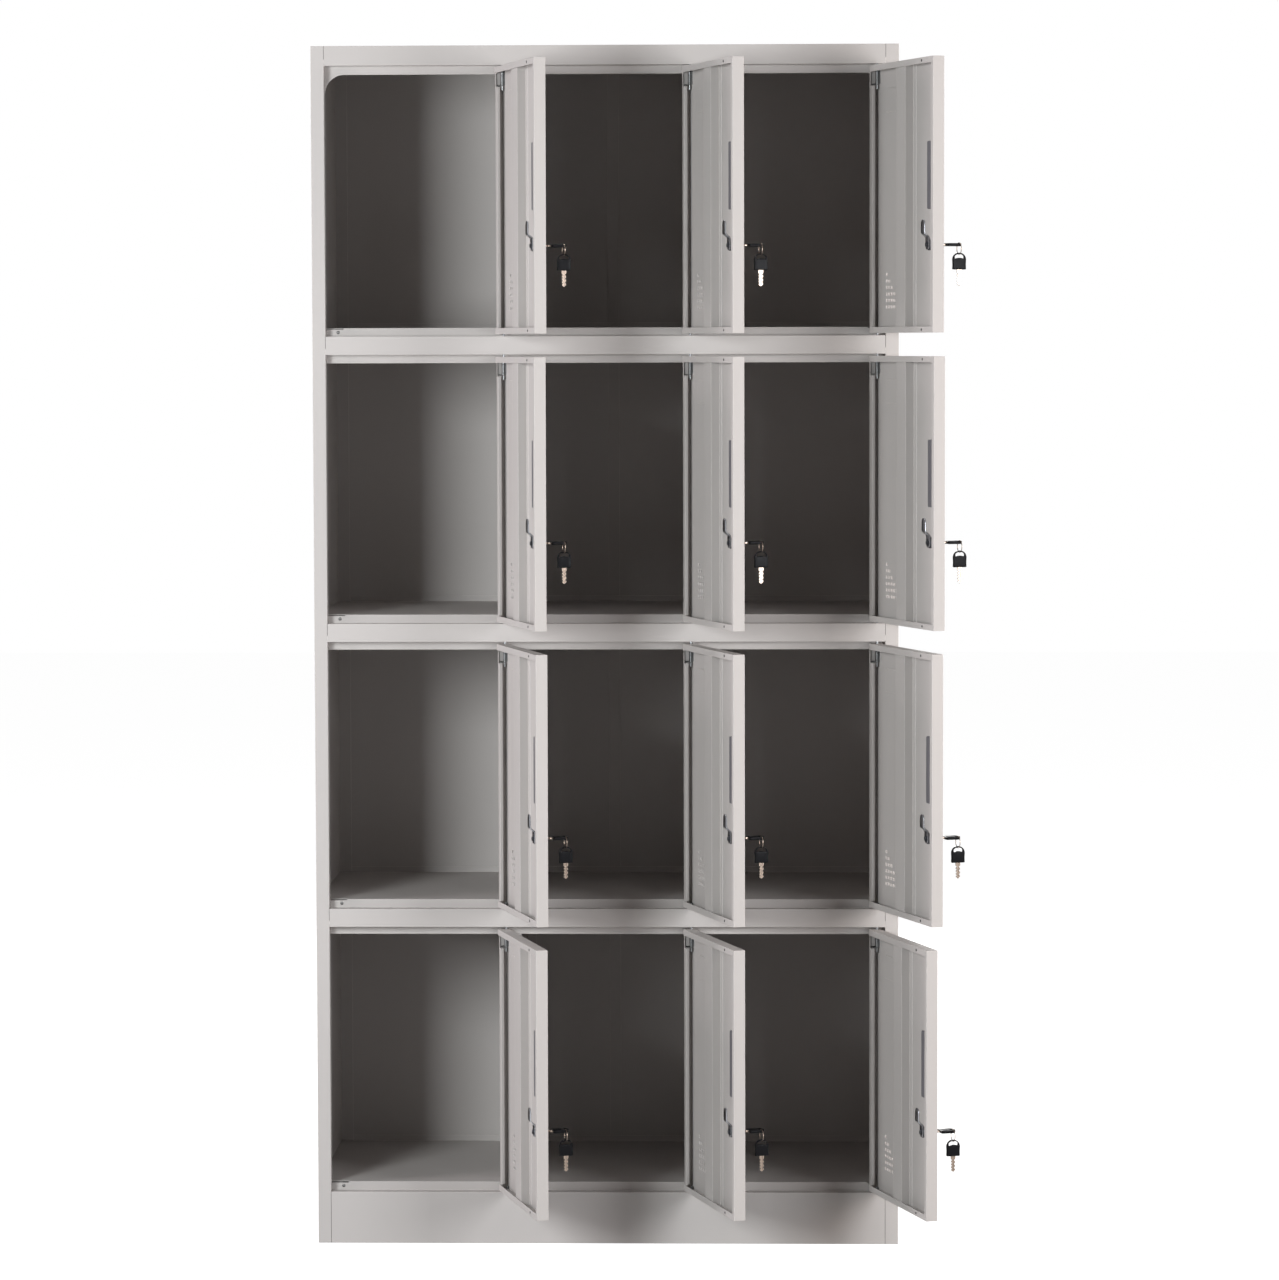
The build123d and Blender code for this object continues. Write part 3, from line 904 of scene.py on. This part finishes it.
def capped(points):
    """Closes a tube: one more row at each end, with all its points in the end row's middle."""
    ends = points[[0, -1]].mean(axis=1, keepdims=True) + np.zeros_like(points[[0, -1]])
    return np.concatenate([ends[:1], points, ends[1:]])


def key_blade(length):
    """A grooved section along the blade, its edges cut in by a wave each, narrowed to a point."""
    length = length + blade_root
    down = np.linspace(0.0, length, blade_rows)
    below = np.clip(down - blade_shoulder, 0.0, None)
    point = np.sqrt(np.clip((length - down) / blade_tip, 0.0, 1.0))
    right = (blade_half_width - edge_cut(below, right_cut_wave)) * point
    left = (blade_half_width - edge_cut(below, left_cut_wave, left_cut_start)) * point
    face = np.array(blade_face)
    across, depth = np.concatenate([face, face[-2:0:-1] * (1.0, -1.0)]).T
    x = np.where(across > 0, right[:, None], left[:, None]) * across
    y = depth * blade_thickness * np.clip(point * blade_tip_thinning, 0.0, 1.0)[:, None]
    z = np.broadcast_to(blade_root - head_length - down[:, None], x.shape)
    return capped(np.stack([x, y, z], -1))


def laid(points):
    """A key drawn head up and blade down, laid so that its blade points into the lock."""
    x, y, z = points[..., 0], points[..., 1], points[..., 2]
    return np.stack([x, -z - key_stand_off - head_length, y], -1)


# The key heads' rims get a strong painted highlight.
key_plastic = finish_with(
    "black key plastic",
    moulded,
    {
        "Colour": head_colour,
        "Rim paleness": 0.8,
        "Rim radius": 0.4 * mm,
        "Grain scale": 2600.0,
        "Roughness": 0.3,
    },
    bump_distance=head_grain * mm,
    Specular_IOR_Level=0.05,
)
nickel_silver = finish_with(
    "nickel silver",
    plating,
    {"Colour": blade_colour, "Cloud colour": blade_cloud, "Roughness": 0.22},
    bump_distance=blade_scratch * mm,
    Metallic=1.0,
)
for number in door_numbers:
    head = piece_of(
        f"key_head_{number}",
        [shell(at_lock(laid(key_head()), number), loop_rows=True)],
        f"lock_{number}",
        key_plastic,
        crease=head_crease,
    )
    blade = piece_of(
        f"key_blade_{number}",
        [shell(at_lock(laid(key_blade(key_stand_off)), number))],
        f"lock_{number}",
        nickel_silver,
    )
    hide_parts(f"lock_and_key_{number}")
    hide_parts(f"lock_and_key_{number}")

# Key rings and spare keys. A split ring of two turns of hard wire goes through both heads, so the
# spare key hangs face on below the key in the lock.

ring_radius = 9.0
ring_wire = 0.3
ring_sides = 48
ring_wire_sides = 10
ring_side = -8.75
ring_out = -31.7
ring_drop = 5.9
spare_top = -11.9
spare_blade = 24.0


def ring_turn(shift):
    """A circle of wire about the ring's middle, in the x and z plane, moved along y by a shift."""
    angle = np.linspace(0.0, 2 * np.pi, ring_sides, endpoint=False)[:, None]
    wire = np.linspace(0.0, 2 * np.pi, ring_wire_sides, endpoint=False)
    reach = ring_radius + ring_wire * np.cos(wire)
    x = ring_side + reach * np.cos(angle)
    y = np.broadcast_to(ring_out + shift + ring_wire * np.sin(wire), x.shape)
    return np.stack([x, y, reach * np.sin(angle) - ring_drop], -1)


def hung(points):
    """A key turned a quarter about its own length and hung below the ring."""
    x, y, z = points[..., 0], points[..., 1], points[..., 2]
    return np.stack([ring_side - y, ring_out + x, z + spare_top], -1)


for number in door_numbers:
    turns = (ring_turn(-ring_wire), ring_turn(ring_wire))
    ring = piece_of(
        f"key_ring_{number}",
        [shell(at_lock(turn, number), loop_rows=True) for turn in turns],
        f"spare_{number}",
        nickel_silver,
    )
    head = piece_of(
        f"spare_head_{number}",
        [shell(at_lock(hung(key_head()), number), loop_rows=True)],
        f"spare_{number}",
        key_plastic,
        crease=head_crease,
    )
    blade = piece_of(
        f"spare_blade_{number}",
        [shell(at_lock(hung(key_blade(spare_blade)), number))],
        f"spare_{number}",
        nickel_silver,
    )
    for piece in (ring, head, blade):
        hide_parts(f"spare_key_{number}")

# Hinges. At the top of each door a zinc-plated pin stands in a bracket leaf; a coil spring under
# its collar pushes it up into the frame. At the bottom the door turns on a stud in the rail.

pin_radius = 2.06
pin_above_door = 9.5
pin_length = 45.1
pin_edge = 0.9
pin_sides = 24
leaf_drop = 27.0
leaf_sheet = 1.6
leaf_reach = 4.1
leaf_depth = 10.05
leaf_wall = 9.7
leaf_top = -0.88
leaf_bend = 1.5
leaf_rows = 25
skin_inside = -3.2
spring_radius = 2.95
spring_wire = 0.55
spring_turns = 10
spring_length = 17.0
steps_per_turn = 14
spring_wire_sides = 8
collar_radius = 3.3
collar_height = 2.5
collar_edge = 0.4
stud_height = 9.4
stud_sides = 20
door_end_gap = 3.5
zinc_colour = (0.22, 0.226, 0.232, 1.0)
zinc_cloud = (0.15, 0.155, 0.155, 1.0)
zinc_scratch = 0.006


def at_hinge_top(points, number):
    """From axes on the pin, level with the door's top edge, to the open door. The joint is at
    half the door's height, so the top edge is as far above it as the lower edge is below."""
    x, y, z = joints[f"door_{number}_hinge"]["pos_m"]
    top = 2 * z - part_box(f"door_{number}")[0][2]
    return turned(points, (x, y, top), rest_angle(number))


def upright(points):
    """A lathe shape on the y axis, stood up on the z axis."""
    return points[..., (0, 2, 1)]


def coil():
    """Wire round a helix: a circle of wire carried round the pin while it climbs to the collar."""
    steps = spring_turns * steps_per_turn
    turn = np.linspace(0.0, 2 * np.pi * spring_turns, steps)[:, None]
    wire = np.linspace(0.0, 2 * np.pi, spring_wire_sides, endpoint=False)
    reach = spring_radius + spring_wire * np.cos(wire)
    climb = turn / turn[-1] * (spring_length - 2 * spring_wire) + spring_wire - leaf_drop
    z = climb + spring_wire * np.sin(wire)
    return capped(np.stack([reach * np.cos(turn), reach * np.sin(turn), z], -1))


def leaf():
    """Bracket leaf: a strip up the skin, folded out level under the spring, as one flat bar."""
    back = skin_inside + leaf_sheet / 2
    low = -leaf_drop - leaf_sheet / 2
    corners = ((back, leaf_top), (back, low), (skin_inside + leaf_depth, low))
    path, run = spaced(eased(corners, leaf_bend, steps=5), leaf_rows)
    flat = band(path, np.full(run.shape, (leaf_wall + leaf_reach) / 2), leaf_sheet)
    return capped(flat) + ((leaf_wall - leaf_reach) / 2, 0.0, 0.0)


collar_start = spring_length - leaf_drop
pin_profiles = (
    rod(pin_above_door - pin_length, pin_above_door, pin_radius, pin_edge),
    rod(collar_start, collar_start + collar_height, collar_radius, collar_edge),
    (
        (-leaf_drop, 0.0),
        (-leaf_drop, spring_radius),
        (collar_start, spring_radius),
        (collar_start, 0.0),
    ),
)
pin_points = [upright(lathe(profile, pin_sides)) for profile in pin_profiles] + [coil()]
zinc = finish_with(
    "zinc plating",
    plating,
    {"Colour": zinc_colour, "Cloud colour": zinc_cloud, "Roughness": 0.34},
    bump_distance=zinc_scratch * mm,
    Metallic=1.0,
)
for number in door_numbers:
    pin_shells = [shell(at_hinge_top(points, number)) for points in pin_points]
    piece_of(f"hinge_pin_{number}", pin_shells, f"door_{number}", zinc)
    leaf_shell = shell(at_hinge_top(leaf(), number))
    piece_of(f"hinge_leaf_{number}", [leaf_shell], f"door_{number}", zinc)

stud_points = upright(lathe(rod(0.0, stud_height, pin_radius, pin_edge), stud_sides))
stud_shells = []
for number in door_numbers:
    x, y, _ = joints[f"door_{number}_hinge"]["pos_m"]
    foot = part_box(f"door_{number}")[0][2] - door_end_gap * mm
    stud_shells.append(shell(turned(stud_points, (x, y, foot), 0.0)))
piece_of("hinge_studs", stud_shells, "cabinet", zinc)

# Lip rivets. A domed steel rivet near each end of every lip holds the frame to the sides. The
# heads are dull from the oven that cures the paint.

door_columns = 3
rivet_radius = 2.6
rivet_dome = 1.05
rivet_flat = 1.0
rivet_from_door_end = 3.0
dome_rows = 7
dome_sides = 16
rivet_colour = (0.17, 0.165, 0.16, 1.0)
rivet_cloud = (0.1, 0.1, 0.1, 1.0)
rivet_scratch = 0.006


def dome(radius, height):
    """A low dome towards the front of the y axis: a quarter ellipse turned round, flat behind."""
    turn = np.linspace(np.pi / 2, 0.0, dome_rows)
    profile = np.stack([-height * np.sin(turn), radius * np.cos(turn)], -1)
    return lathe(np.concatenate([profile, [(0.0, 0.0)]]), dome_sides)


rivet_steel = finish_with(
    "dull rivet steel",
    plating,
    {"Colour": rivet_colour, "Cloud colour": rivet_cloud, "Roughness": 0.5},
    bump_distance=rivet_scratch * mm,
    Metallic=1.0,
)
row_boxes = [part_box(f"door_{number}") for number in door_numbers[::door_columns]]
heads_low, heads_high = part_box("frame_rivets")
rivet_shells = []
for door_low, door_high in row_boxes:
    low, high = door_low[2] + rivet_from_door_end * mm, door_high[2] - rivet_from_door_end * mm
    for z in (low, high):
        for x in (heads_low[0] + rivet_radius * mm, heads_high[0] - rivet_radius * mm):
            place = (x, heads_low[1] + rivet_flat * mm, z)
            rivet_shells.append(shell(turned(dome(rivet_radius, rivet_dome), place, 0.0)))
rivets = piece_of("lip_rivets", rivet_shells, "cabinet", rivet_steel)
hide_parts("frame_rivets")

# Frame seams. The ends of the header, the rails and the kick plate butt against the side flanges;
# each joint's shade is painted as a thin dark strip. The doors' ends give the members' heights.

seam_half_width = 0.4
seam_thickness = 0.3
seam_edge = 0.1
seam_sunk = 0.1
seam_from_middle = 430.0
seam_grain = 0.01
joint_shadow_colour = (0.06, 0.055, 0.05, 1.0)
# Painted shadow: each strip is the shade of a joint, drawn as a dark flat bar.
sealer = finish_with(
    "dark joint sealer",
    moulded,
    {"Colour": joint_shadow_colour, "Rim paleness": 0.0, "Grain scale": 2500.0, "Roughness": 0.6},
    bump_distance=seam_grain * mm,
)


def seam(side, low, high):
    """A flat bar up the front of the frame on one side, from a low to a high end."""
    path = np.array([(seam_sunk, low), (seam_sunk, high)])
    half_widths = np.full(len(path), seam_half_width)
    bar = capped(band(path, half_widths, seam_thickness, seam_edge))
    return bar + (side * seam_from_middle, 0.0, 0.0)


member_tops = [cad_box[1][2] / mm] + [low[2] / mm - door_end_gap for low, _ in row_boxes]
member_feet = [high[2] / mm + door_end_gap for _, high in row_boxes] + [0.0]
seam_shells = [
    shell(seam(side, foot, top) * mm)
    for foot, top in zip(member_feet, member_tops)
    for side in (-1, 1)
]
piece_of("frame_seam_shadows", seam_shells, "cabinet", sealer)

# Lip holes. Each door's upper and lower lip has a small hole near the lock side. The shade in
# each hole is painted as a low black dome laid in the lip.

hole_shade_radius = 2.0
hole_shade_height = 0.8
hole_shade_from_lock = 18.5
hole_shade_from_end = 4.5
hole_shade_grain = 0.02
lip_back = 17.5
door_tall = 407.0
lock_height = 130.0
hole_shade_colour = (0.018, 0.018, 0.018, 1.0)
# Painted shade: the black domes stand in for the dark of the lip holes.
rubber = finish_with(
    "black rubber",
    moulded,
    {"Colour": hole_shade_colour, "Rim paleness": 0.3, "Grain scale": 3000.0, "Roughness": 0.7},
    bump_distance=hole_shade_grain * mm,
)
hole_dome = dome(hole_shade_radius, hole_shade_height) * (1.0, -1.0, 1.0)
hole_heights = (hole_shade_from_end - lock_height, door_tall - lock_height - hole_shade_from_end)
for number in door_numbers:
    places = [(hole_shade_from_lock, lip_back, height) for height in hole_heights]
    shells = [shell(at_lock(hole_dome + place, number)) for place in places]
    piece_of(f"lip_hole_shades_{number}", shells, f"door_{number}", rubber)
